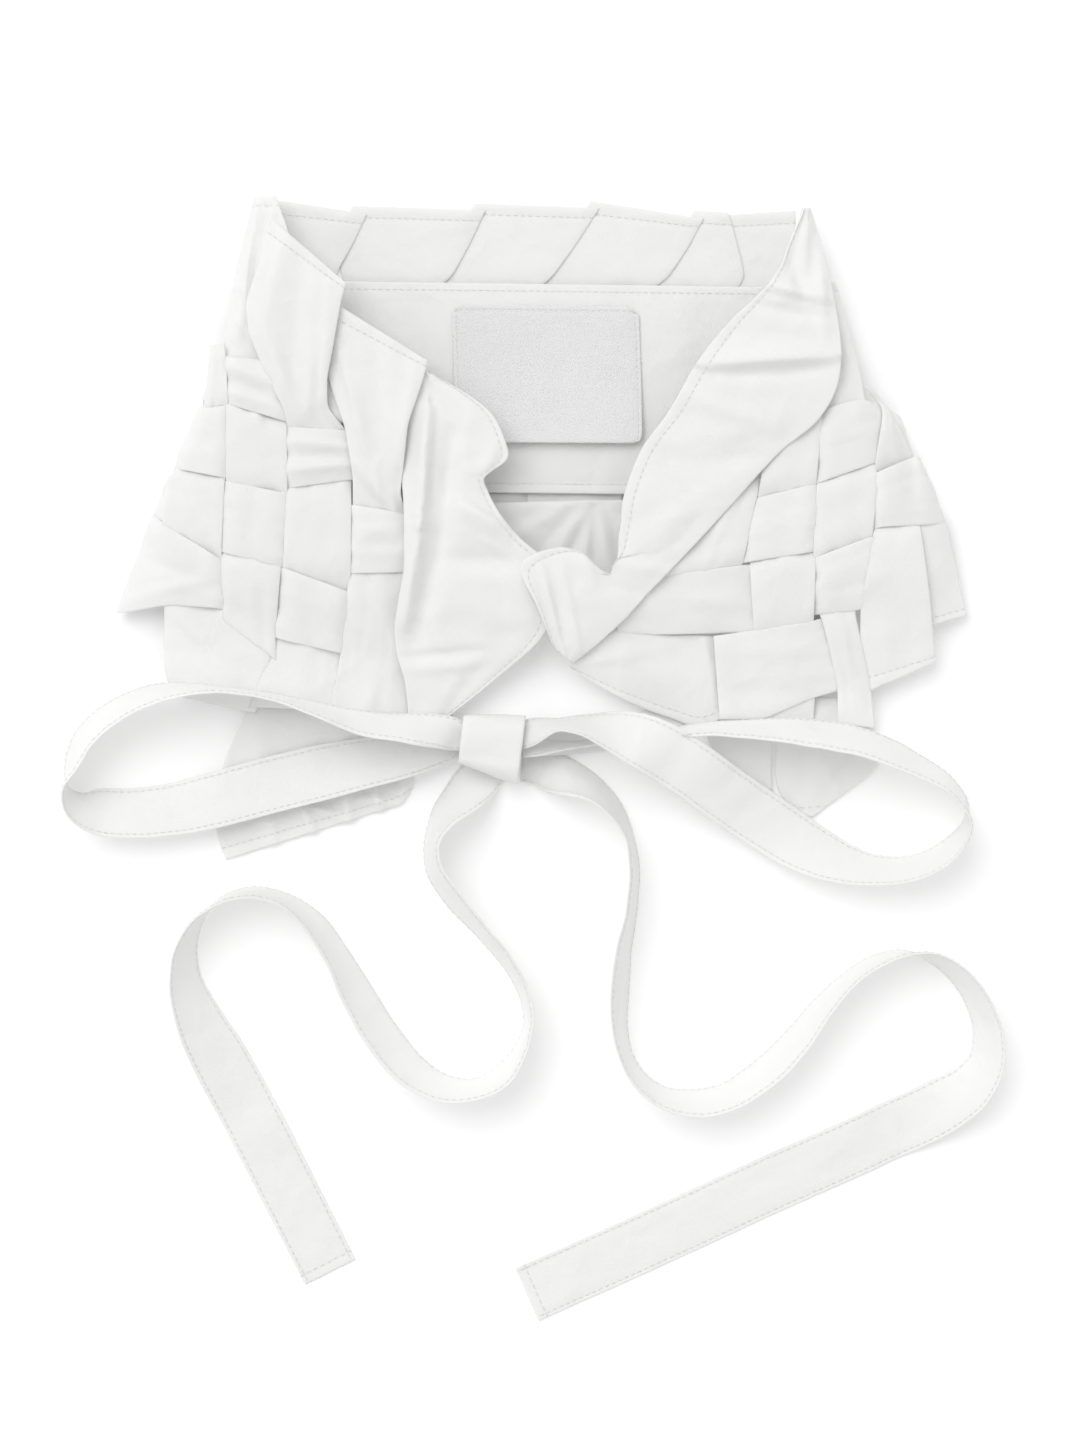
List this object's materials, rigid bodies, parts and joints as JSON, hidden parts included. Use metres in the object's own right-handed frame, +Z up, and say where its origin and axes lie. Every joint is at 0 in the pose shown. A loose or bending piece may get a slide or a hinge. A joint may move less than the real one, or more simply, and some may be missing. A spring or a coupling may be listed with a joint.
{
  "type": "detachable collar",
  "caption": "Detachable cotton collar of woven strips lying flat, its fronts folded over the open neck and its ribbon tied in a bow.",
  "frame": {"origin": "centre of the collar's outline, at the surface that its back lies on", "axes": "+Y towards the neck edge, +X to the right as it lies, +Z up from the surface"},
  "size_m": [0.3955, 0.4735, 0.0362],
  "materials": {
    "white_cotton": "matt plain weave",
    "label_tape": "matt fine woven tape, bare"
  },
  "bodies": {
    "root": {"back_strip_1": "white_cotton", "back_strip_2": "white_cotton", "back_strip_3": "white_cotton", "back_strip_4": "white_cotton", "back_strip_5": "white_cotton", "back_strip_6": "white_cotton", "back_band_1": "white_cotton", "back_band_2": "white_cotton", "back_band_3": "white_cotton", "back_band_4": "white_cotton", "neck_facing": "white_cotton", "woven_label": "label_tape", "pleated_back_panel": "white_cotton", "left_strip_a": "white_cotton", "left_strip_b": "white_cotton", "left_strip_c": "white_cotton", "left_strip_d": "white_cotton", "left_band_1": "white_cotton", "left_band_2": "white_cotton", "left_band_3": "white_cotton", "left_band_4": "white_cotton", "left_front_panel": "white_cotton", "left_lower_panel": "white_cotton", "right_lapel": "white_cotton", "right_strip_b": "white_cotton", "right_strip_c": "white_cotton", "right_strip_d": "white_cotton", "right_strip_e": "white_cotton", "right_strip_f": "white_cotton", "right_band_1": "white_cotton", "right_band_2": "white_cotton", "right_band_3": "white_cotton", "right_band_4": "white_cotton", "right_front_panel": "white_cotton", "right_lower_inner": "white_cotton", "right_lower_outer": "white_cotton", "bow_knot": "white_cotton", "left_loop": "white_cotton", "right_loop": "white_cotton", "left_tail": "white_cotton", "right_tail": "white_cotton", "left_tie_end": "white_cotton", "right_tie_end": "white_cotton"}
  },
  "joints": []
}
